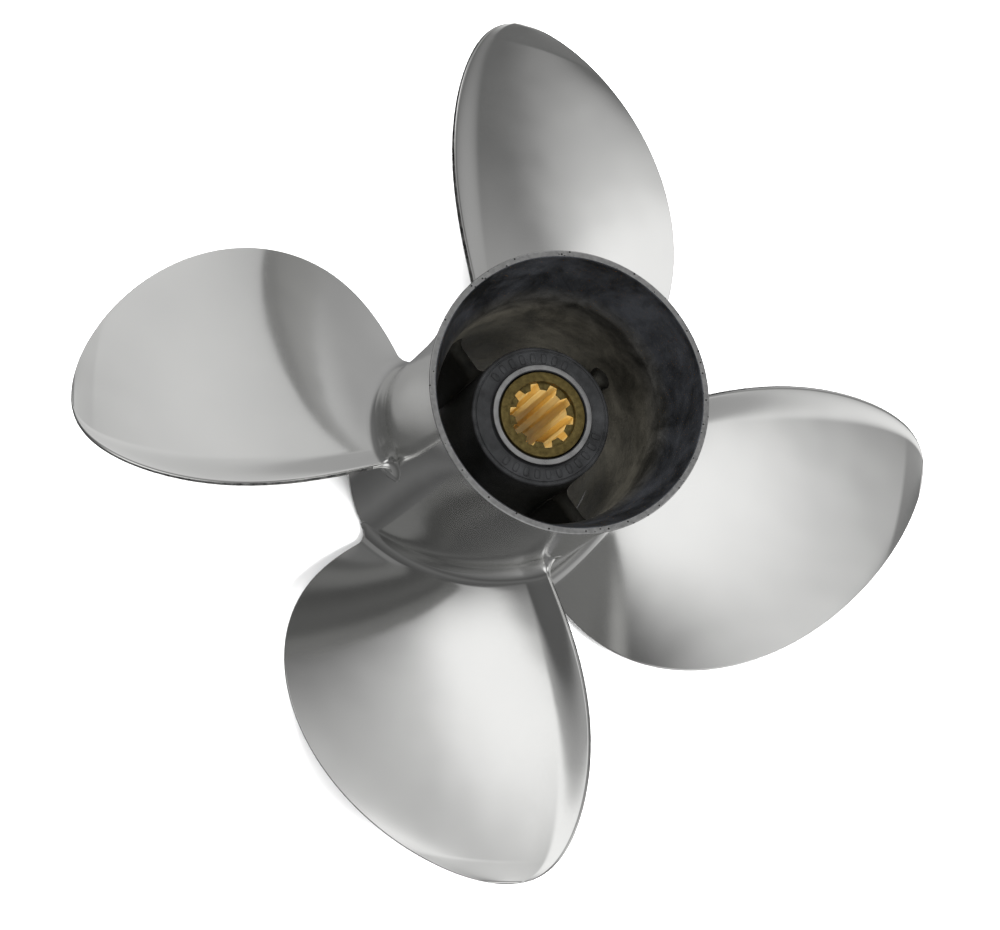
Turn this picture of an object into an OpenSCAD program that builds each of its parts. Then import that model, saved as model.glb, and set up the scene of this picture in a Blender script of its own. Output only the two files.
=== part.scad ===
// Four-blade, right-hand outboard propeller with the exhaust passing through its hub.
// The origin is the centre of the barrel's front rim, and +Z is the shaft axis, towards the rear.

/* [Barrel] */
// Overall length of the barrel along the shaft
hub_length = 102; // [101:0.5:110]
// Outer radius of the front rim
front_rim_r = 38.4; // [38:0.1:40]
// Outer radius at the waist
waist_r = 36.4; // [36.2:0.1:37]
// Outer radius of the flared rear rim
rear_rim_r = 39.3; // [38.6:0.1:41]
// Width of the flat face of the rear rim
rear_rim_w = 1.9; // [1.2:0.1:3]
// Inner radius of the exhaust passage
passage_r = 32; // [31:0.25:33]
// Depth of the conical mouth at the rear
mouth_depth = 21; // [15:1:26]
// Radius of the collar bore that runs on the gearcase
collar_r = 30; // [29:0.1:30.5]
// Depth of the collar bore
collar_depth = 12; // [8:0.5:12]

/* [Blades] */
// Diameter swept by the blade tips
prop_d = 254; // [240:1:270]
// Advance of the blade face in one turn
pitch = 228.6; // [200:0.1:240]
// Number of blades
blade_count = 4; // [4:4]
// Height of the blade's generator line where it leaves the barrel
blade_z = 32.3; // [32:0.1:35]
// Rearward rake of the generator line from barrel to tip
rake = 16.9; // [10:0.1:20]
// Greatest thickness at the root
root_t = 6.4; // [5:0.1:7]
// Greatest thickness near the tip
tip_t = 2.2; // [1.6:0.1:3]

/* [Inner hub] */
// Outer radius of the inner hub's rear face
inner_hub_r = 19.9; // [19.5:0.1:21]
// Height of the inner hub's rear face
inner_hub_rear = 74; // [72:0.5:77]
// Height of the inner hub's front face
inner_hub_front = 15; // [14:0.5:20]
// Radius of the bore that holds the rubber bush
bush_bore_r = 17; // [16.5:0.1:17.2]
// Outer radius of the machined ring
ring_r = 14.3; // [14:0.1:14.8]
// Height of the machined ring above the rear face
ring_h = 1.8; // [1:0.1:2.5]
// Thickness of each rib
rib_t = 4; // [3:0.25:5]
// Height of the ribs' rounded rear ends
rib_rear = 52; // [46:0.5:56]

/* [Splined sleeve] */
// Outer radius of the brass sleeve
sleeve_r = 12.2; // [11.8:0.1:12.3]
// Number of spline teeth
spline_teeth = 10; // [8:1:13]
// Radius at the bottom of the spline grooves
spline_major_r = 9.3; // [8.8:0.1:10]
// Radius at the tips of the spline teeth
spline_minor_r = 7.5; // [7:0.1:8]

/* [Hidden] */
$fn = 96;

tip_r = prop_d / 2;
blade_step = 360 / blade_count;

// Barrel: the outside narrows from the front rim to a waist and flares to the rear rim.
// Forward of passage_front the passage narrows to the collar bore.
front_taper_end = 56;
rear_flare_start = 60;
front_edge_r = 2;
profile_steps = 8;
edge_steps = 4;
rim_edge = 0.3;
passage_front = 52;

// Blade outline: angles in degrees against x, which runs from 0 at the barrel to 1 at the tip
outline_base_r = 38;
outline_span = tip_r - outline_base_r;
blade_root_r = 35.2;
sweep_start = -15.3;
sweep_total = 18.6;
sweep_power = 2.15;
half_width = 35.3;
width_growth = 0.22;
width_curve = -0.57;
width_power = 2.18;
camber = 2.4;
rake_curve = 1.9;
cup_height = 1.6;
cup_start = 0.8;
station_count = 22;
chord_steps = 16;
last_x = 0.9995;

// Inner hub and ribs
hub_draft = 1.1;
bush_wall_rear = 6.5;
sleeve_clear = 0.4;
rib_first = 42;
rib_front = 16;
rib_embed = 0.8;

// Rubber bush and sleeve
bush_clear = 0.05;
bush_front = 17.5;
bush_gap = 0.5;
bush_chamfer = 1.2;
sleeve_front = 12.6;
sleeve_rear = 76;
spline_recess = 1.5;
groove_tip_angle = 21;
groove_root_angle = 12.6;
lead_in = 0.8;

function clamp01(v) = min(1, max(0, v));
function smooth(v) = let (u = clamp01(v)) u * u * (3 - 2 * u);

// Outer radius of the barrel at height z
function barrel_r(z) =
    z < front_taper_end
    ? waist_r + (front_rim_r - waist_r) * pow((front_taper_end - z) / front_taper_end, 1.6)
    : z < rear_flare_start
    ? waist_r
    : waist_r + (rear_rim_r - waist_r)
      * pow((z - rear_flare_start) / (hub_length - rear_flare_start), 2);

// Blade section at radius r: sweep of its middle, half its width, thickness and place
function outline_x(r) = clamp01((r - outline_base_r) / outline_span);
function mid_angle(x) = sweep_start + sweep_total * pow(x, sweep_power);
function half_angle(x) =
    half_width * (1 + width_growth * x + width_curve * x * x) * sqrt(1 - pow(x, width_power));
function section_t(x) = tip_t + (root_t - tip_t) * pow(1 - x, 1.3);
function helix_slope(r) = atan(pitch / (2 * PI * r));
function face_z(r, angle, s) =
    let (x = outline_x(r), turn = angle * PI / 180)
    blade_z + pitch * angle / 360 + rake * x - rake_curve * x * x + camber * turn * turn
    + cup_height * half_angle(x) / half_width
      * (smooth((s - cup_start) / (1 - cup_start)) - (1 + s) / 4);

// One point of a blade section; a runs round the section from the leading edge
function blade_point(r, a) =
    let (x = outline_x(r),
         s = -cos(a),
         h = sin(a) * section_t(x) / 2,
         slope = helix_slope(r),
         angle = mid_angle(x) + half_angle(x) * s,
         turn = angle - h * sin(slope) / r * 180 / PI,
         z = face_z(r, angle, s) + h * cos(slope))
    [r * cos(turn), r * sin(turn), z];

ring_n = 2 * chord_steps;
function station_r(i) =
    i == 0
    ? blade_root_r
    : outline_base_r + outline_span * last_x * sin(90 * (i - 1) / (station_count - 1));
function ring_points(i) = [for (k = [0 : ring_n - 1]) blade_point(station_r(i), 360 * k / ring_n)];
function skin_faces(i) =
    [for (k = [0 : ring_n - 1])
        let (a = i * ring_n + k, b = i * ring_n + (k + 1) % ring_n)
        each [[a, a + ring_n, b], [b, a + ring_n, b + ring_n]]];
// A cap joins the two faces of one section, strip by strip
function cap_faces(i, flip) =
    [for (k = [0 : chord_steps - 1])
        let (a = i * ring_n + k, b = a + 1,
             c = i * ring_n + (ring_n - k) % ring_n, d = i * ring_n + ring_n - k - 1)
        each k == 0 ? [flip ? [a, d, b] : [a, b, d]]
           : k == chord_steps - 1 ? [flip ? [a, c, b] : [a, b, c]]
           : flip ? [[a, d, b], [a, c, d]] : [[a, b, d], [a, d, c]]];

module blade(i) {
    rotate([0, 0, blade_step * i])
        polyhedron(
            points = [for (j = [0 : station_count]) each ring_points(j)],
            faces = concat(
                [for (j = [0 : station_count - 1]) each skin_faces(j)],
                cap_faces(0, false),
                cap_faces(station_count, true)));
}

// Half section of the barrel, as radius and height
front_edge = [for (k = [0 : edge_steps])
    let (a = 90 * k / edge_steps)
    [barrel_r(front_edge_r) - front_edge_r + front_edge_r * sin(a), front_edge_r * (1 - cos(a))]];
front_taper = [for (k = [1 : profile_steps])
    let (z = front_edge_r + (front_taper_end - front_edge_r) * k / profile_steps)
    [barrel_r(z), z]];
rear_flare = [for (k = [0 : profile_steps - 1])
    let (z = rear_flare_start + (hub_length - rim_edge - rear_flare_start) * k / profile_steps)
    [barrel_r(z), z]];
mouth_r = rear_rim_r - rear_rim_w;

module outer_barrel() {
    color("silver")
        rotate_extrude($fn = 144)
            polygon(concat(
                [[collar_r + lead_in, 0]],
                front_edge,
                front_taper,
                rear_flare,
                [[rear_rim_r, hub_length - rim_edge],
                 [rear_rim_r - rim_edge, hub_length],
                 [mouth_r, hub_length],
                 [passage_r, hub_length - mouth_depth],
                 [passage_r, passage_front],
                 [collar_r, collar_depth],
                 [collar_r, lead_in]]));
}

module inner_hub() {
    front_r = inner_hub_r + hub_draft;
    ring_in = sleeve_r + sleeve_clear;
    bore_end = inner_hub_rear - bush_wall_rear;
    color("dimgray")
        rotate_extrude()
            polygon([
                [bush_bore_r + lead_in, inner_hub_front],
                [front_r - lead_in, inner_hub_front],
                [front_r, inner_hub_front + lead_in],
                [inner_hub_r, inner_hub_rear - lead_in],
                [inner_hub_r - lead_in, inner_hub_rear],
                [ring_r, inner_hub_rear],
                [ring_r, inner_hub_rear + ring_h],
                [ring_in, inner_hub_rear + ring_h],
                [ring_in, bore_end],
                [bush_bore_r, bore_end],
                [bush_bore_r, inner_hub_front + lead_in]]);
}

// Radial rib between the inner hub and the barrel, rounded at the rear
module rib(i) {
    inner = inner_hub_r - rib_embed;
    outer = passage_r + rib_embed;
    color("dimgray")
        rotate([0, 0, rib_first + blade_step * i])
            translate([inner, 0, 0])
                rotate([90, 0, 90])
                    linear_extrude(outer - inner)
                        union() {
                            translate([-rib_t / 2, rib_front])
                                square([rib_t, rib_rear - rib_t / 2 - rib_front]);
                            translate([0, rib_rear - rib_t / 2])
                                circle(d = rib_t, $fn = 32);
                        }
}

module rubber_bush() {
    outer = bush_bore_r - bush_clear;
    rear = inner_hub_rear - bush_wall_rear - bush_gap;
    color("black")
        rotate_extrude()
            polygon([
                [sleeve_r, bush_front],
                [outer - bush_chamfer, bush_front],
                [outer, bush_front + bush_chamfer],
                [outer, rear - bush_chamfer],
                [outer - bush_chamfer, rear],
                [sleeve_r, rear]]);
}

// Cross-section of the spline: a round hole with straight-sided grooves around it
module spline_hole() {
    inner_half = spline_minor_r * sin(groove_tip_angle / 2);
    outer_half = spline_major_r * sin(groove_root_angle / 2);
    inner_x = spline_minor_r * cos(groove_tip_angle / 2) - lead_in;
    outer_x = spline_major_r * cos(groove_root_angle / 2);
    union() {
        circle(r = spline_minor_r);
        for (i = [0 : spline_teeth - 1])
            rotate(360 * i / spline_teeth)
                polygon([
                    [inner_x, -inner_half],
                    [outer_x, -outer_half],
                    [outer_x, outer_half],
                    [inner_x, inner_half]]);
    }
}

module spline_sleeve() {
    spline_end = sleeve_rear - spline_recess;
    recess_r = spline_major_r + 0.1;
    color("goldenrod")
        union() {
            translate([0, 0, sleeve_front])
                linear_extrude(spline_end - sleeve_front)
                    difference() {
                        circle(r = sleeve_r);
                        spline_hole();
                    }
            translate([0, 0, spline_end])
                linear_extrude(spline_recess)
                    difference() {
                        circle(r = sleeve_r);
                        circle(r = recess_r);
                    }
        }
}

outer_barrel();
color("lightgray") blade(0);  // blade_1
color("lightgray") blade(1);  // blade_2
color("lightgray") blade(2);  // blade_3
color("lightgray") blade(3);  // blade_4
inner_hub();
rib(0);  // rib_1
rib(1);  // rib_2
rib(2);  // rib_3
rib(3);  // rib_4
rubber_bush();
spline_sleeve();
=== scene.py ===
import math

import bpy
import numpy as np
from mathutils import Matrix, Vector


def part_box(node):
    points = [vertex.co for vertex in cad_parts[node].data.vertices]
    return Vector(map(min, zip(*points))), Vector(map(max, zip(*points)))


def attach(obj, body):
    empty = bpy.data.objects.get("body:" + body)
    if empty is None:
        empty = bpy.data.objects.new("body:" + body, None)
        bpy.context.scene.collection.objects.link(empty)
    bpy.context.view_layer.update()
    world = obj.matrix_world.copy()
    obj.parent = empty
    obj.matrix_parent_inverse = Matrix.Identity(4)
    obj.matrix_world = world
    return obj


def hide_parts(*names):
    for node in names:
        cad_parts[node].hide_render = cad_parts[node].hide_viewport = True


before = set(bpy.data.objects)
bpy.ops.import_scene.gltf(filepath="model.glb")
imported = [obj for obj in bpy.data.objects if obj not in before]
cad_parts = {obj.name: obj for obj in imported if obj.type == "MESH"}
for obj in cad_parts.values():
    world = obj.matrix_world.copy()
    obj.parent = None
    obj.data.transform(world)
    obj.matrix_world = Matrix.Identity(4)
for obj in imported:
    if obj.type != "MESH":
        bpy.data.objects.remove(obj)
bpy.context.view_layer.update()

MM = 0.001
TAU = 2 * math.pi

# Sizes in millimetres, the same as the CAD model's
BLADES = 4
STEP = 360 / BLADES
HUB_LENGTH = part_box("outer_barrel")[1].z / MM
HUB_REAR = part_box("inner_hub")[1].z / MM
SLEEVE_LOW, SLEEVE_HIGH = (corner.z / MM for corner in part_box("spline_sleeve"))
SLEEVE_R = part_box("spline_sleeve")[1].x / MM
BUSH_LOW, BUSH_HIGH = (corner.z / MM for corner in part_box("rubber_bush"))
BUSH_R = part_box("rubber_bush")[1].x / MM

TIP_R = 126.9
PITCH = 228.6
BLADE_Z = 32.3
RAKE = 16.9
RAKE_CURVE = 1.9
CAMBER = 2.4
CUP_HEIGHT = 1.6
CUP_START = 0.8
OUTLINE_BASE_R = 38
SWEEP_START = -15.3
SWEEP_TOTAL = 18.6
SWEEP_POWER = 2.15
HALF_WIDTH = 35.3
WIDTH_GROWTH = 0.22
WIDTH_CURVE = -0.57
WIDTH_POWER = 2.18
ROOT_T = 6.2
TIP_T = 2.2
LEAD_EDGE = 0.55
TRAIL_EDGE = 0.85
FILLET = 5.0
BARREL_REF_R = 36.8

FRONT_RIM_R = 38.4
WAIST_R = 36.4
REAR_RIM_R = 39.3
MOUTH_R = 37.4
PASSAGE_R = 32.0
MOUTH_DEPTH = 21.0
COLLAR_R = 30.0
COLLAR_DEPTH = 12.0
PASSAGE_FRONT = 52.0
TAPER_END = 56.0
FLARE_START = 60.0

INNER_HUB_R = 19.9
INNER_HUB_FRONT = 15.0
RING_R = 14.3
RING_H = 1.8
BUSH_BORE_R = 17.0
RIB_FIRST = 42.0
RIB_T = 4.0
RIB_FRONT = 16.0
RIB_REAR = 52.0
TEETH = 10
SPLINE_MAJOR_R = 9.3
SPLINE_MINOR_R = 7.5
TOOTH_ROOT_ANGLE = 6.3
TOOTH_TIP_ANGLE = 10.5
SPLINE_RECESS = 1.5
RECESS_CLEAR = 0.15
SLEEVE_CLEAR = 0.4
HUB_DRAFT = 1.1
BUSH_WALL_REAR = 6.5

# Facets around each turned or lofted piece
BARREL_FACETS = 288
HUB_FACETS = 224
BUSH_FACETS = 160
BLADE_AROUND = 320
BLADE_STATIONS = 96
FILLET_STATIONS = 14
EDGE_FIRST_RING = 14
TRAIL_BAND = 5
LEAD_BAND = 3
RIB_AROUND = 96
RIB_STATIONS = 40
TOOTH_FACETS = 60

# Camera angles in degrees, and its place in millimetres from the rear rim's centre
CAMERA_AZIMUTH = 226.128
CAMERA_ELEVATION = 69.125
CAMERA_ROLL = 50.665
CAMERA_PLACE = (-183.8, -195.9, 627.4)
CAMERA_LENS = 91.86
CAMERA_SENSOR = 36
FLOOR_HALF = 6.0


def smooth(value):
    u = np.clip(value, 0, 1)
    return u * u * (3 - 2 * u)


# ---------------------------------------------------------------- materials

def new_material(name, color, metallic, roughness):
    """A Principled material and the handles that the looks below build on."""
    material = bpy.data.materials.new(name)
    material.use_nodes = True
    tree = material.node_tree
    shader = tree.nodes["Principled BSDF"]
    shader.inputs["Base Color"].default_value = (*color, 1)
    shader.inputs["Metallic"].default_value = metallic
    shader.inputs["Roughness"].default_value = roughness
    return material, tree, shader


def object_coords(tree, stretch=(1, 1, 1)):
    coords = tree.nodes.new("ShaderNodeTexCoord")
    mapping = tree.nodes.new("ShaderNodeMapping")
    mapping.inputs["Scale"].default_value = stretch
    tree.links.new(coords.outputs["Object"], mapping.inputs["Vector"])
    return mapping.outputs["Vector"]


def noise(tree, vector, scale, detail=4.0, rough=0.5, distortion=0.0):
    node = tree.nodes.new("ShaderNodeTexNoise")
    node.inputs["Scale"].default_value = scale
    node.inputs["Detail"].default_value = detail
    node.inputs["Roughness"].default_value = rough
    node.inputs["Distortion"].default_value = distortion
    tree.links.new(vector, node.inputs["Vector"])
    return node.outputs["Fac"]


def pits(tree, vector, scale, size):
    """1 on the surface and 0 inside small round pits."""
    cells = tree.nodes.new("ShaderNodeTexVoronoi")
    cells.inputs["Scale"].default_value = scale
    tree.links.new(vector, cells.inputs["Vector"])
    return ramp(tree, cells.outputs["Distance"], [(0.0, 0.0), (size, 0.1), (size * 1.6, 1.0)])


def ramp(tree, factor, stops):
    """A ramp whose stops are (place, grey) or (place, colour)."""
    node = tree.nodes.new("ShaderNodeValToRGB")
    elements = node.color_ramp.elements
    while len(elements) < len(stops):
        elements.new(0.5)
    for element, (place, value) in zip(elements, stops):
        color = value if isinstance(value, tuple) else (value, value, value)
        element.position = place
        element.color = (*color, 1)
    tree.links.new(factor, node.inputs["Fac"])
    return node.outputs["Color"]


def mix_color(tree, factor, first, second, blend="MIX"):
    node = tree.nodes.new("ShaderNodeMix")
    node.data_type = "RGBA"
    node.blend_type = blend
    sockets = (node.inputs[0], node.inputs[6], node.inputs[7])
    for socket, value in zip(sockets, (factor, first, second)):
        if isinstance(value, (int, float)):
            socket.default_value = value
        elif isinstance(value, tuple):
            socket.default_value = (*value, 1)
        else:
            tree.links.new(value, socket)
    return node.outputs[2]


def bump(tree, shader, layers):
    """Stacks bumps, each given as (height, depth in metres, strength)."""
    normal = None
    for height, distance, strength in layers:
        node = tree.nodes.new("ShaderNodeBump")
        node.inputs["Distance"].default_value = distance
        node.inputs["Strength"].default_value = strength
        tree.links.new(height, node.inputs["Height"])
        if normal is not None:
            tree.links.new(normal, node.inputs["Normal"])
        normal = node.outputs["Normal"]
    tree.links.new(normal, shader.inputs["Normal"])


def polished_steel():
    """Hand-polished casting: mirror bright, slightly wavy, with a faint haze from buffing."""
    material, tree, shader = new_material("polished_stainless", (0.80, 0.80, 0.785), 1.0, 0.1)
    coords = object_coords(tree)
    haze = noise(tree, coords, 28, 3)
    tint = ramp(tree, haze, [(0.3, (0.77, 0.77, 0.76)), (0.7, (0.83, 0.83, 0.815))])
    tree.links.new(tint, shader.inputs["Base Color"])
    buffing = noise(tree, object_coords(tree, (40, 40, 9)), 30, 5, 0.6)
    blend = mix_color(tree, 0.4, haze, buffing)
    gloss = ramp(tree, blend, [(0.3, 0.09), (0.7, 0.17)])
    tree.links.new(gloss, shader.inputs["Roughness"])
    waves = noise(tree, coords, 27, 2)
    bump(tree, shader, [(waves, 0.0011, 0.22)])
    return material


def rim_steel():
    """Ground rim of the casting: satin, with small dark pores."""
    material, tree, shader = new_material("rim_ground_steel", (0.5, 0.5, 0.5), 1.0, 0.35)
    coords = object_coords(tree)
    pores = pits(tree, coords, 640, 0.14)
    grain = noise(tree, coords, 900, 3)
    base = ramp(tree, grain, [(0.3, (0.50, 0.50, 0.50)), (0.7, (0.64, 0.64, 0.635))])
    color = mix_color(tree, pores, (0.04, 0.04, 0.04), base)
    tree.links.new(color, shader.inputs["Base Color"])
    gloss = ramp(tree, grain, [(0.3, 0.3), (0.7, 0.48)])
    tree.links.new(gloss, shader.inputs["Roughness"])
    bump(tree, shader, [(pores, 0.0002, 0.6), (grain, 0.00005, 0.4)])
    return material


def edge_steel():
    """Blunt edge of a blade, left from the grinding belt."""
    material, tree, shader = new_material("edge_ground_steel", (0.3, 0.3, 0.29), 1.0, 0.35)
    coords = object_coords(tree)
    grain = noise(tree, coords, 380, 4, 0.6)
    base = ramp(tree, grain, [(0.35, (0.10, 0.10, 0.10)), (0.65, (0.42, 0.42, 0.41))])
    tree.links.new(base, shader.inputs["Base Color"])
    gloss = ramp(tree, grain, [(0.3, 0.25), (0.7, 0.45)])
    tree.links.new(gloss, shader.inputs["Roughness"])
    bump(tree, shader, [(grain, 0.0001, 0.5)])
    return material


def cast_wall():
    """Inside of the barrel: as-cast, blue-grey at the mouth and browner deeper down; its colour is
    also painted light, darker at the mouth and lighter deeper in, lightest toward the front, as if
    lit through the open front.
    """
    material, tree, shader = new_material("cast_wall", (0.1, 0.1, 0.1), 0.35, 0.6)
    coords = object_coords(tree)
    split = tree.nodes.new("ShaderNodeSeparateXYZ")
    tree.links.new(coords, split.inputs["Vector"])
    # Painted light: the wall colour is darkest at the mouth and lighter deeper down.
    depth = tree.nodes.new("ShaderNodeMapRange")
    depth.inputs["From Min"].default_value = (HUB_LENGTH - 1.6 * MOUTH_DEPTH) * MM
    depth.inputs["From Max"].default_value = (HUB_LENGTH - 0.7 * MOUTH_DEPTH) * MM
    tree.links.new(split.outputs["Z"], depth.inputs["Value"])
    mottle = noise(tree, coords, 70, 6, 0.62, 0.6)
    mouth = ramp(tree, mottle, [(0.38, (0.005, 0.0055, 0.0065)), (0.68, (0.034, 0.036, 0.041))])
    deep = ramp(tree, mottle, [(0.32, (0.030, 0.028, 0.022)), (0.7, (0.14, 0.13, 0.105))])
    # Painted light from the open front: the wall colour lightens toward the front end.
    front = tree.nodes.new("ShaderNodeMapRange")
    front.inputs["From Min"].default_value = 20 * MM
    front.inputs["From Max"].default_value = 62 * MM
    tree.links.new(split.outputs["Z"], front.inputs["Value"])
    painted_front_light = ramp(tree, mottle, [(0.32, (0.16, 0.15, 0.12)), (0.7, (0.30, 0.28, 0.23))])
    deep = mix_color(tree, front.outputs["Result"], painted_front_light, deep)
    color = mix_color(tree, depth.outputs["Result"], deep, mouth)
    stains = ramp(tree, noise(tree, coords, 260, 4, 0.65), [(0.34, 0.3), (0.5, 1.0)])
    color = mix_color(tree, 0.4, color, stains, "MULTIPLY")
    tree.links.new(color, shader.inputs["Base Color"])
    gloss = ramp(tree, mottle, [(0.3, 0.42), (0.7, 0.66)])
    tree.links.new(gloss, shader.inputs["Roughness"])
    grain = noise(tree, coords, 1400, 3, 0.6)
    lumps = noise(tree, coords, 130, 3, 0.5)
    bump(tree, shader, [(lumps, 0.0006, 0.35), (grain, 0.00015, 0.45)])
    return material


def cast_hub():
    """Inner hub's end: near-black shot-blasted casting skin."""
    material, tree, shader = new_material("cast_hub", (0.03, 0.03, 0.03), 0.25, 0.55)
    coords = object_coords(tree)
    mottle = noise(tree, coords, 160, 5, 0.6)
    color = ramp(tree, mottle, [(0.3, (0.006, 0.0062, 0.0064)), (0.72, (0.019, 0.0195, 0.0205))])
    tree.links.new(color, shader.inputs["Base Color"])
    grain = noise(tree, coords, 2200, 3, 0.65)
    gloss = ramp(tree, grain, [(0.3, 0.38), (0.7, 0.58)])
    tree.links.new(gloss, shader.inputs["Roughness"])
    bump(tree, shader, [(grain, 0.00012, 0.5), (mottle, 0.0002, 0.3)])
    return material


def rib_skin():
    """Ribs: near-black painted shade standing for the shadow on their faces, duller than the wall
    behind them.
    """
    material, tree, shader = new_material("rib_skin", (0.02, 0.02, 0.02), 0.1, 0.7)
    coords = object_coords(tree)
    # Painted shade: the rib colour is kept near black for the shadow the ribs sit in; the noise
    # only varies its tone.
    scale = noise(tree, coords, 180, 5, 0.6)
    color = ramp(tree, scale, [(0.3, (0.005, 0.005, 0.0045)), (0.72, (0.024, 0.023, 0.019))])
    tree.links.new(color, shader.inputs["Base Color"])
    gloss = ramp(tree, scale, [(0.3, 0.6), (0.7, 0.8)])
    tree.links.new(gloss, shader.inputs["Roughness"])
    grain = noise(tree, coords, 1400, 3, 0.6)
    bump(tree, shader, [(grain, 0.00015, 0.4)])
    return material


def turned_steel():
    """Machined ring: fine concentric turning marks on bright steel."""
    material, tree, shader = new_material("turned_steel", (0.6, 0.6, 0.6), 1.0, 0.3)
    coords = object_coords(tree)
    rings = tree.nodes.new("ShaderNodeTexWave")
    rings.wave_type = "RINGS"
    rings.rings_direction = "Z"
    rings.inputs["Scale"].default_value = 900
    rings.inputs["Distortion"].default_value = 0.4
    tree.links.new(coords, rings.inputs["Vector"])
    wear = noise(tree, coords, 260, 4)
    color = ramp(tree, wear, [(0.3, (0.55, 0.55, 0.55)), (0.7, (0.78, 0.78, 0.77))])
    tree.links.new(color, shader.inputs["Base Color"])
    gloss = ramp(tree, wear, [(0.3, 0.24), (0.7, 0.4)])
    tree.links.new(gloss, shader.inputs["Roughness"])
    bump(tree, shader, [(rings.outputs["Fac"], 0.00003, 0.5)])
    return material


def bush_rubber():
    """Moulded rubber, matt black with a faint bloom."""
    material, tree, shader = new_material("bush_rubber", (0.02, 0.02, 0.02), 0.0, 0.6)
    coords = object_coords(tree)
    bloom = noise(tree, coords, 120, 4)
    color = ramp(tree, bloom, [(0.3, (0.014, 0.014, 0.014)), (0.75, (0.04, 0.04, 0.042))])
    tree.links.new(color, shader.inputs["Base Color"])
    gloss = ramp(tree, bloom, [(0.3, 0.5), (0.7, 0.72)])
    tree.links.new(gloss, shader.inputs["Roughness"])
    grain = noise(tree, coords, 1500, 3)
    bump(tree, shader, [(grain, 0.0001, 0.3)])
    return material


def spline_brass():
    """Broached spline flanks: bright gold with lengthwise marks."""
    material, tree, shader = new_material("spline_brass", (0.96, 0.74, 0.32), 0.5, 0.25)
    marks = noise(tree, object_coords(tree, (1, 1, 0.02)), 1600, 3)
    color = ramp(tree, marks, [(0.3, (0.90, 0.66, 0.22)), (0.7, (1.0, 0.84, 0.42))])
    tree.links.new(color, shader.inputs["Base Color"])
    gloss = ramp(tree, marks, [(0.3, 0.28), (0.7, 0.42)])
    tree.links.new(gloss, shader.inputs["Roughness"])
    bump(tree, shader, [(marks, 0.00004, 0.35)])
    return material


def dull_brass():
    """End of the sleeve: tarnished olive, finely grained."""
    material, tree, shader = new_material("dull_brass", (0.2, 0.16, 0.06), 0.8, 0.5)
    coords = object_coords(tree)
    stain = noise(tree, coords, 700, 6, 0.7)
    color = ramp(tree, stain, [(0.3, (0.045, 0.033, 0.010)), (0.7, (0.125, 0.095, 0.033))])
    tree.links.new(color, shader.inputs["Base Color"])
    grain = noise(tree, coords, 2600, 3, 0.65)
    gloss = ramp(tree, grain, [(0.3, 0.4), (0.7, 0.6)])
    tree.links.new(gloss, shader.inputs["Roughness"])
    bump(tree, shader, [(grain, 0.0001, 0.5)])
    return material


# ------------------------------------------------------------------- meshes

def add_piece(name, points, faces, materials, face_slots, body, nodes=()):
    """Makes a smooth-shaded mesh from points in millimetres and hands it to the frame."""
    mesh = bpy.data.meshes.new(name)
    mesh.from_pydata((np.asarray(points, float) * MM).tolist(), [], faces)
    for material in materials:
        mesh.materials.append(material)
    mesh.polygons.foreach_set("material_index", np.asarray(face_slots, np.int32))
    mesh.polygons.foreach_set("use_smooth", np.ones(len(mesh.polygons), bool))
    mesh.update()
    piece = bpy.data.objects.new(name, mesh)
    bpy.context.scene.collection.objects.link(piece)
    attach(piece, body)
    if nodes:
        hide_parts(*nodes)
    return piece


def weigh_normals(piece):
    modifier = piece.modifiers.new("weighted_normals", "WEIGHTED_NORMAL")
    modifier.weight = 100
    modifier.keep_sharp = False


def rounded(corners, steps=6):
    """Turns (r, z, fillet radius, slot) corners of a closed outline into (r, z, slot) points."""
    points = []
    count = len(corners)
    for i, (r, z, fillet, slot) in enumerate(corners):
        here = np.array([r, z], float)
        if fillet <= 0:
            points.append((r, z, slot))
            continue
        before = np.array(corners[i - 1][:2], float) - here
        after = np.array(corners[(i + 1) % count][:2], float) - here
        before /= np.linalg.norm(before)
        after /= np.linalg.norm(after)
        half = math.acos(max(-1, min(1, float(before @ after)))) / 2
        reach = fillet / math.tan(half)
        middle = before + after
        centre = here + middle / np.linalg.norm(middle) * fillet / math.sin(half)
        first = here + before * reach - centre
        last = here + after * reach - centre
        start = math.atan2(first[1], first[0])
        sweep = (math.atan2(last[1], last[0]) - start + math.pi) % TAU - math.pi
        for k in range(steps + 1):
            angle = start + sweep * k / steps
            place = centre + fillet * np.array([math.cos(angle), math.sin(angle)])
            points.append((place[0], place[1], slot))
    return points


def lathe(name, outline, segments, materials, body, nodes=()):
    """Revolves a closed (r, z, slot) outline; a slot belongs to the band after its point."""
    r, z, slots = (np.array(column, float) for column in zip(*outline))
    turn = np.arange(segments) * TAU / segments
    points = np.stack([np.outer(r, np.cos(turn)), np.outer(r, np.sin(turn)),
                       np.outer(z, np.ones(segments))], -1).reshape(-1, 3)
    faces, face_slots = ring_faces(len(r), segments, slots, closed=True)
    piece = add_piece(name, points, faces, materials, face_slots, body, nodes)
    weigh_normals(piece)
    return piece


def ring_faces(rings, around, slots, closed=False):
    """Quads between neighbouring rings of points, and the material slot of each."""
    faces = []
    face_slots = []
    for i in range(rings if closed else rings - 1):
        low = i * around
        high = (i + 1) % rings * around
        for k in range(around):
            n = (k + 1) % around
            faces.append((low + k, low + n, high + n, high + k))
            face_slots.append(int(slots[i]))
    return faces, face_slots


# ------------------------------------------------------------------- blades

def barrel_r(z):
    """Outer radius of the barrel at height z."""
    ahead = np.clip(TAPER_END - z, 0, None) / TAPER_END
    behind = np.clip(z - FLARE_START, 0, None) / (HUB_LENGTH - FLARE_START)
    return WAIST_R + (FRONT_RIM_R - WAIST_R) * ahead ** 1.6 + (REAR_RIM_R - WAIST_R) * behind ** 2


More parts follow.
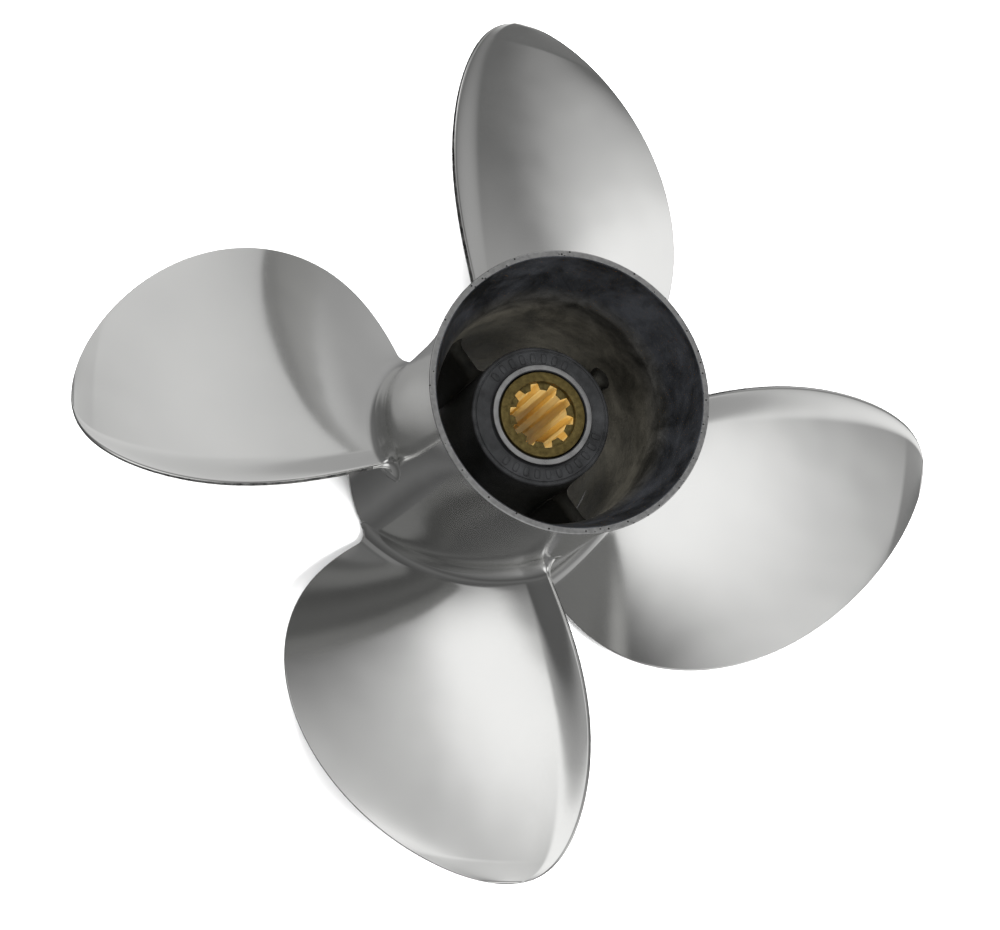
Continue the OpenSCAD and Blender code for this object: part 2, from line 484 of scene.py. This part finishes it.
def section(r, around):
    """Closed blade section at radius r on the unrolled cylinder, as (along, up) points."""
    a = np.arange(around) * TAU / around
    s = -np.cos(a)
    x = min(1, max(0, (r - OUTLINE_BASE_R) / (TIP_R - OUTLINE_BASE_R)))
    width = HALF_WIDTH * (1 + WIDTH_GROWTH * x + WIDTH_CURVE * x * x)
    half = width * math.sqrt(max(0, 1 - x ** WIDTH_POWER))
    turn = np.radians(SWEEP_START + SWEEP_TOTAL * x ** SWEEP_POWER + half * s)
    curl = smooth((s - CUP_START) / (1 - CUP_START)) - (1 + s) / 4
    cup = CUP_HEIGHT * half / HALF_WIDTH * curl
    along = r * turn
    up = BLADE_Z + PITCH * turn / TAU + RAKE * x - RAKE_CURVE * x * x + CAMBER * turn ** 2 + cup
    slope = math.atan(PITCH / (TAU * r))
    chord = 2 * r * math.radians(half) / math.cos(slope)
    edge = LEAD_EDGE + (TRAIL_EDGE - LEAD_EDGE) * smooth((s + 1) / 2)
    inset = np.minimum((1 - np.abs(s)) * chord / 2, TIP_R - r)
    fall = np.sqrt(np.clip(1 - (1 - np.clip(inset / edge, 0, 1)) ** 2, 0, 1))
    thick = TIP_T + (ROOT_T - TIP_T) * (1 - x) ** 1.3
    belly = np.clip(thick / 2 - edge, 0.2, None) * (1 - s * s) * min(1, (TIP_R - r) / 6)
    offset = (belly + edge * fall) * np.where(np.sin(a) > 0, -1, 1)
    return along - offset * math.sin(slope), up + offset * math.cos(slope)


def blade_stations():
    """Distances out from the barrel, close together in the fillet and at the tip."""
    fillet = FILLET * (1 - np.cos(np.linspace(0, math.pi / 2, FILLET_STATIONS)))
    span = TIP_R - BARREL_REF_R
    outer = FILLET + (span - FILLET) * np.sin(np.linspace(0, math.pi / 2, BLADE_STATIONS)[1:])
    near_tip = span - np.array([0.02, 0.004])
    return np.concatenate([[-0.5], fillet, outer[outer < near_tip[0]], near_tip])


def blade(index, materials):
    """Blade with a root fillet onto the barrel; the second material covers its blunt edges."""
    around = BLADE_AROUND
    rings = []
    for out in blade_stations():
        nominal = BARREL_REF_R + out
        along, up = section(nominal, around)
        reach = FILLET - math.sqrt(max(0, FILLET ** 2 - max(0, FILLET - max(out, 0)) ** 2))
        if out < FILLET:
            da = np.roll(along, -1) - np.roll(along, 1)
            du = np.roll(up, -1) - np.roll(up, 1)
            length = np.hypot(da, du)
            along = along + du / length * reach
            up = up - da / length * reach
        up = np.maximum(up, 0.25)
        r = nominal + (barrel_r(up) - BARREL_REF_R) * (1 - smooth(max(out, 0) / 20))
        turn = along / nominal + math.radians(STEP * index)
        rings.append(np.stack([r * np.cos(turn), r * np.sin(turn), up], -1))
    count = len(rings)
    faces, _ = ring_faces(count, around, [0] * count)
    faces.append(tuple(reversed(range(around))))
    faces.append(tuple(range((count - 1) * around, count * around)))
    k = np.arange(around)
    trail = np.abs(k - around / 2 + 0.5) < TRAIL_BAND
    lead = np.minimum(k, around - 1 - k) < LEAD_BAND
    edges = trail | lead
    bands = [np.where(edges & (ring > EDGE_FIRST_RING), 1, 0) for ring in range(count - 1)]
    slots = np.concatenate([*bands, [0, 0]])
    return add_piece("blade_skin_%d" % (index + 1), np.concatenate(rings), faces, materials, slots,
                     "casting", ["blade_%d" % (index + 1)])


# ----------------------------------------------------------- hub and sleeve

def barrel(polished, rim, wall):
    """Barrel shell: polished outside, ground rims, as-cast inside."""
    outside = [(float(barrel_r(z)), float(z), 0) for z in np.linspace(2.2, HUB_LENGTH - 0.9, 90)]
    front = rounded([
        (COLLAR_R, COLLAR_DEPTH, 0, 2),
        (COLLAR_R, 0.0, 0.7, 1),
        (float(barrel_r(0)), 0.0, 2.0, 0),
        (float(barrel_r(2.2)), 2.3, 0, 0)])[:-1]
    lip = rounded([
        (float(barrel_r(HUB_LENGTH - 1)), HUB_LENGTH - 1, 0, 0),
        (REAR_RIM_R, HUB_LENGTH, 0.35, 1),
        (MOUTH_R, HUB_LENGTH, 0.3, 2),
        (PASSAGE_R, HUB_LENGTH - MOUTH_DEPTH, 6.0, 2),
        (PASSAGE_R, PASSAGE_FRONT, 6.0, 2),
        (COLLAR_R, COLLAR_DEPTH, 0, 2)])[1:-1]
    return lathe("barrel_shell", front + outside + lip, BARREL_FACETS, [polished, rim, wall],
                 "casting", ["outer_barrel"])


def inner_hub(cast, turned):
    """Inner hub with a fine groove near its edge and a machined ring round the sleeve."""
    ring_in = SLEEVE_R + SLEEVE_CLEAR
    face = HUB_REAR - RING_H
    outline = rounded([
        (BUSH_BORE_R, INNER_HUB_FRONT, 0.8, 0),
        (INNER_HUB_R + HUB_DRAFT, INNER_HUB_FRONT, 1.0, 0),
        (INNER_HUB_R, face, 0.7, 0),
        (INNER_HUB_R - 0.9, face, 0.15, 0),
        (INNER_HUB_R - 1.0, face - 0.3, 0.1, 0),
        (INNER_HUB_R - 1.25, face - 0.3, 0.1, 0),
        (INNER_HUB_R - 1.35, face, 0.15, 0),
        (RING_R + 0.3, face, 0.3, 0),
        (RING_R, HUB_REAR, 0.25, 1),
        (ring_in, HUB_REAR, 0.3, 0),
        (ring_in, face - BUSH_WALL_REAR, 0.4, 0),
        (BUSH_BORE_R, face - BUSH_WALL_REAR, 0.4, 0)], 5)
    return lathe("inner_hub_body", outline, HUB_FACETS, [cast, turned], "casting",
                 ["inner_hub"])


def hub_marks(cast):
    """Two arcs of plain raised pads on the inner hub's rear face."""
    face = HUB_REAR - RING_H
    mean_r = 16.6
    half_length, half_width = 1.45, 0.85
    sunk, height = 0.3, 0.65
    spacing = 11
    angles = [start + spacing * k for start, pads in ((70, 8), (-122, 11)) for k in range(pads)]
    rows, around = 8, 28
    points = []
    faces = []
    for angle in angles:
        first = len(points)
        turn = math.radians(angle)
        for row in range(rows + 1):
            lift = row / rows
            grow = (1 - lift ** 4) ** 0.25 if row < rows else 0.3
            for k in range(around):
                a = TAU * k / around
                ca, sa = math.cos(a), math.sin(a)
                dr = half_length * grow * math.copysign(abs(ca) ** 0.6, ca)
                dt = half_width * grow * math.copysign(abs(sa) ** 0.6, sa)
                x = (mean_r + dr) * math.cos(turn) - dt * math.sin(turn)
                y = (mean_r + dr) * math.sin(turn) + dt * math.cos(turn)
                points.append((x, y, face - sunk + height * lift))
        strips, _ = ring_faces(rows + 1, around, [0] * (rows + 1))
        faces += [tuple(first + v for v in strip) for strip in strips]
        faces.append(tuple(first + v for v in reversed(range(around))))
        faces.append(tuple(first + rows * around + v for v in range(around)))
    return add_piece("hub_marks", points, faces, [cast], [0] * len(faces), "casting")


def rib(index, wall):
    """Rib with rounded ends, flared into the hub and the barrel by root fillets."""
    embed = 0.8
    inner = INNER_HUB_R - embed
    outer = PASSAGE_R + embed
    fillet = 2.6
    stations = RIB_STATIONS
    around = RIB_AROUND
    turn = math.radians(RIB_FIRST + STEP * index)
    radial = np.array([math.cos(turn), math.sin(turn), 0])
    across = np.array([-math.sin(turn), math.cos(turn), 0])
    rings = []
    for r in np.linspace(inner, outer, stations):
        gap = min(r - INNER_HUB_R - 0.3, PASSAGE_R - r)
        near = fillet - min(fillet, max(0, gap))
        flare = fillet - math.sqrt(fillet ** 2 - near ** 2)
        half = RIB_T / 2 + flare
        a = np.arange(around) * TAU / around
        side = half * np.cos(a)
        cap = half * np.sin(a)
        high = RIB_REAR - RIB_T / 2
        low = RIB_FRONT + RIB_T / 2
        height = np.where(np.sin(a) >= 0, high + cap, low + cap)
        rings.append(radial * r + np.outer(side, across) + np.outer(height, (0, 0, 1)))
    faces, _ = ring_faces(stations, around, [0] * stations)
    faces.append(tuple(reversed(range(around))))
    faces.append(tuple(range((stations - 1) * around, stations * around)))
    return add_piece("rib_web_%d" % (index + 1), np.concatenate(rings), faces, [wall],
                     [0] * len(faces), "casting", ["rib_%d" % (index + 1)])


def spline_radius(turn):
    """Radius of the splined hole: grooves with straight sides between wide teeth."""
    step = 360 / TEETH
    off = np.abs((np.degrees(turn) + step / 2) % step - step / 2)
    along = (TOOTH_TIP_ANGLE - off) / (TOOTH_TIP_ANGLE - TOOTH_ROOT_ANGLE)
    return SPLINE_MINOR_R + (SPLINE_MAJOR_R - SPLINE_MINOR_R) * np.clip(along, 0, 1)


def sleeve(bright, dull):
    """Splined sleeve: bright inside the spline, dull on its ends and in the rear recess."""
    around = TEETH * TOOTH_FACETS
    turn = np.arange(around) * TAU / around
    hole = spline_radius(turn)
    one = np.ones(around)
    recess = SPLINE_MAJOR_R + RECESS_CLEAR
    low = SLEEVE_LOW
    high = SLEEVE_HIGH
    seat = high - SPLINE_RECESS
    rings = [
        (hole + 0.5, low, 1),
        (one * (SLEEVE_R - 0.5), low, 1),
        (one * SLEEVE_R, low + 0.5, 1),
        (one * SLEEVE_R, high - 0.4, 1),
        (one * (SLEEVE_R - 0.12), high - 0.12, 1),
        (one * (SLEEVE_R - 0.4), high, 1),
        (one * (recess + 0.35), high, 1),
        (one * (recess + 0.1), high - 0.1, 1),
        (one * recess, high - 0.35, 1),
        (one * recess, seat, 1),
        (np.minimum(hole + 0.3, recess - 0.02), seat - 0.02, 1),
        (hole + 0.08, seat - 0.12, 1),
        (hole, seat - 0.35, 0),
        (hole, low + 0.6, 0)]
    points = [np.stack([r * np.cos(turn), r * np.sin(turn), z * one], -1) for r, z, _ in rings]
    faces, slots = ring_faces(len(rings), around, [slot for _, _, slot in rings], closed=True)
    piece = add_piece("brass_sleeve", np.concatenate(points), faces, [bright, dull], slots,
                      "splined_hub", ["spline_sleeve"])
    piece.data.set_sharp_from_angle(angle=math.radians(32))
    weigh_normals(piece)
    piece.modifiers["weighted_normals"].keep_sharp = True
    return piece


def bush(rubber):
    """Rubber ring between the sleeve and the inner hub's bore."""
    outline = rounded([
        (SLEEVE_R, BUSH_LOW, 0.4, 0),
        (BUSH_R - 2.2, BUSH_LOW, 0.8, 0),
        (BUSH_R, BUSH_LOW + 1.8, 1.0, 0),
        (BUSH_R, BUSH_HIGH, 1.0, 0),
        (SLEEVE_R, BUSH_HIGH, 0.4, 0)])
    return lathe("bush_rubber_body", outline, BUSH_FACETS, [rubber], "splined_hub",
                 ["rubber_bush"])


# ---------------------------------------------------------- camera and light

def toward(azimuth, elevation):
    """Unit vector from the origin in a direction given in degrees."""
    az = math.radians(azimuth)
    el = math.radians(elevation)
    return np.array([math.cos(el) * math.cos(az), math.cos(el) * math.sin(az), math.sin(el)])


def place_facing(thing, azimuth, elevation, roll, place):
    """Points a camera or lamp back along a direction given by azimuth and elevation."""
    az = math.radians(azimuth)
    tilt = math.radians(roll)
    away = toward(azimuth, elevation)
    side = np.array([-math.sin(az), math.cos(az), 0])
    over = np.cross(away, side)
    right = side * math.cos(tilt) + over * math.sin(tilt)
    up = over * math.cos(tilt) - side * math.sin(tilt)
    rows = [(right[i], up[i], away[i], place[i]) for i in range(3)]
    thing.matrix_world = Matrix([*rows, (0, 0, 0, 1)])
    bpy.context.scene.collection.objects.link(thing)


def camera():
    """Looks down into the rear of the propeller at a slant."""
    data = bpy.data.cameras.new("camera")
    data.sensor_width = CAMERA_SENSOR
    data.lens = CAMERA_LENS
    view = bpy.data.objects.new("camera", data)
    x, y, above = CAMERA_PLACE
    place = (x * MM, y * MM, (above + HUB_LENGTH) * MM)
    place_facing(view, CAMERA_AZIMUTH, CAMERA_ELEVATION, CAMERA_ROLL, place)
    bpy.context.scene.camera = view


def floor():
    """Pale floor, left out of the steel's reflections."""
    mesh = bpy.data.meshes.new("floor")
    half = FLOOR_HALF
    corners = [(-half, -half, 0), (half, -half, 0), (half, half, 0), (-half, half, 0)]
    mesh.from_pydata(corners, [], [(0, 1, 2, 3)])
    material, tree, shader = new_material("floor_paper", (0.9, 0.9, 0.9), 0.0, 0.9)
    tone = ramp(tree, noise(tree, object_coords(tree), 2, 2), [(0.3, 0.88), (0.7, 0.92)])
    tree.links.new(tone, shader.inputs["Base Color"])
    mesh.materials.append(material)
    plane = bpy.data.objects.new("floor", mesh)
    bpy.context.scene.collection.objects.link(plane)
    plane.visible_glossy = False


def softbox(name, azimuth, elevation, distance, size, power):
    """A square area light that faces the propeller and is not mirrored in the steel."""
    data = bpy.data.lights.new(name, "AREA")
    data.shape = "RECTANGLE"
    data.size = size
    data.size_y = size
    data.energy = power
    lamp = bpy.data.objects.new(name, data)
    lamp.visible_glossy = False
    place_facing(lamp, azimuth, elevation, 0, toward(azimuth, elevation) * distance)


def lobe(tree, direction, azimuth, elevation, inner, outer, brightness):
    """Brightness of a soft round light seen in a direction, full inside the inner angle."""
    near = tree.nodes.new("ShaderNodeVectorMath")
    near.operation = "DOT_PRODUCT"
    near.inputs[1].default_value = toward(azimuth, elevation)
    tree.links.new(direction, near.inputs[0])
    fade = tree.nodes.new("ShaderNodeMapRange")
    fade.interpolation_type = "SMOOTHSTEP"
    fade.inputs["From Min"].default_value = math.cos(math.radians(outer))
    fade.inputs["From Max"].default_value = math.cos(math.radians(inner))
    fade.inputs["To Max"].default_value = brightness
    tree.links.new(near.outputs["Value"], fade.inputs["Value"])
    return fade.outputs["Result"]


def combine(tree, operation, first, second=0):
    """One maths node on numbers or sockets."""
    node = tree.nodes.new("ShaderNodeMath")
    node.operation = operation
    for socket, value in zip(node.inputs, (first, second)):
        if isinstance(value, (int, float)):
            socket.default_value = value
        else:
            tree.links.new(value, socket)
    return node.outputs[0]


def room():
    """Studio for the steel to reflect: soft lights in a grey room with one dark screen."""
    # Azimuth, elevation, angle of the full core, angle where the light ends, brightness
    lights = [
        (142, 47, 6, 29, 0.86),
        (262, 50, 6, 32, 0.62),
        (270, 32, 10, 42, 0.22),
        (346, 40, 6, 25, 0.80),
        (66, 44, 6, 30, 0.12),
        (70, 20, 4, 26, 0.22),
        (68, 8, 20, 60, 0.18),
        (0, -10, 10, 50, 0.36),
        (0, 90, 8, 30, 0.10)]
    grey = 0.21
    # Share of the light left at each azimuth, below the ceiling
    screen = [
        (0, 0.66), (22, 0.6), (50, 1.0), (92, 1.0), (104, 0.45), (126, 0.6), (137, 1.0), (155, 1.0),
        (160, 0.35), (178, 0.5), (192, 0.7), (206, 0.42), (226, 0.8), (245, 1.0), (300, 1.0),
        (325, 0.7), (338, 1.0), (351, 1.0), (360, 0.66)]
    world = bpy.data.worlds.new("studio")
    world.use_nodes = True
    tree = world.node_tree
    coords = tree.nodes.new("ShaderNodeTexCoord")
    direction = coords.outputs["Generated"]
    total = grey
    for light in lights:
        total = combine(tree, "ADD", lobe(tree, direction, *light), total)
    split = tree.nodes.new("ShaderNodeSeparateXYZ")
    tree.links.new(direction, split.inputs["Vector"])
    turn = combine(tree, "ARCTAN2", split.outputs["Y"], split.outputs["X"])
    share = combine(tree, "FRACT", combine(tree, "DIVIDE", turn, TAU))
    shade = ramp(tree, share, [(angle / 360, tone) for angle, tone in screen])
    above = ramp(tree, split.outputs["Z"], [(0.86, 0.0), (0.96, 1.0)])
    shade = mix_color(tree, above, shade, (1.0, 1.0, 1.0))
    tone = combine(tree, "MULTIPLY", total, shade)
    tree.links.new(tone, tree.nodes["Background"].inputs["Color"])
    bpy.context.scene.world = world


def studio():
    """Soft light for the floor and the casting, and small lights that reach into the barrel."""
    room()
    softbox("overhead", 132, 60, 2.4, 2.2, 78)
    softbox("front_fill", 300, 52, 2.4, 2.0, 40)
    softbox("key", 228, 80, 1.8, 0.35, 10)
    softbox("left_hub_light", 136, 63, 1.2, 0.2, 12)
    softbox("right_hub_light", 306, 63, 1.2, 0.2, 12)


polished = polished_steel()
rim = rim_steel()
edge = edge_steel()
wall = cast_wall()
rib_shade = rib_skin()
hub_skin = cast_hub()
turned = turned_steel()
rubber = bush_rubber()
bright_brass = spline_brass()
olive_brass = dull_brass()

camera()
floor()
studio()
barrel(polished, rim, wall)
inner_hub(hub_skin, turned)
hub_marks(hub_skin)
for number in range(BLADES):
    blade(number, [polished, edge])
    rib(number, rib_shade)
bush(rubber)
sleeve(bright_brass, olive_brass)

bpy.context.scene.view_settings.view_transform = "Standard"
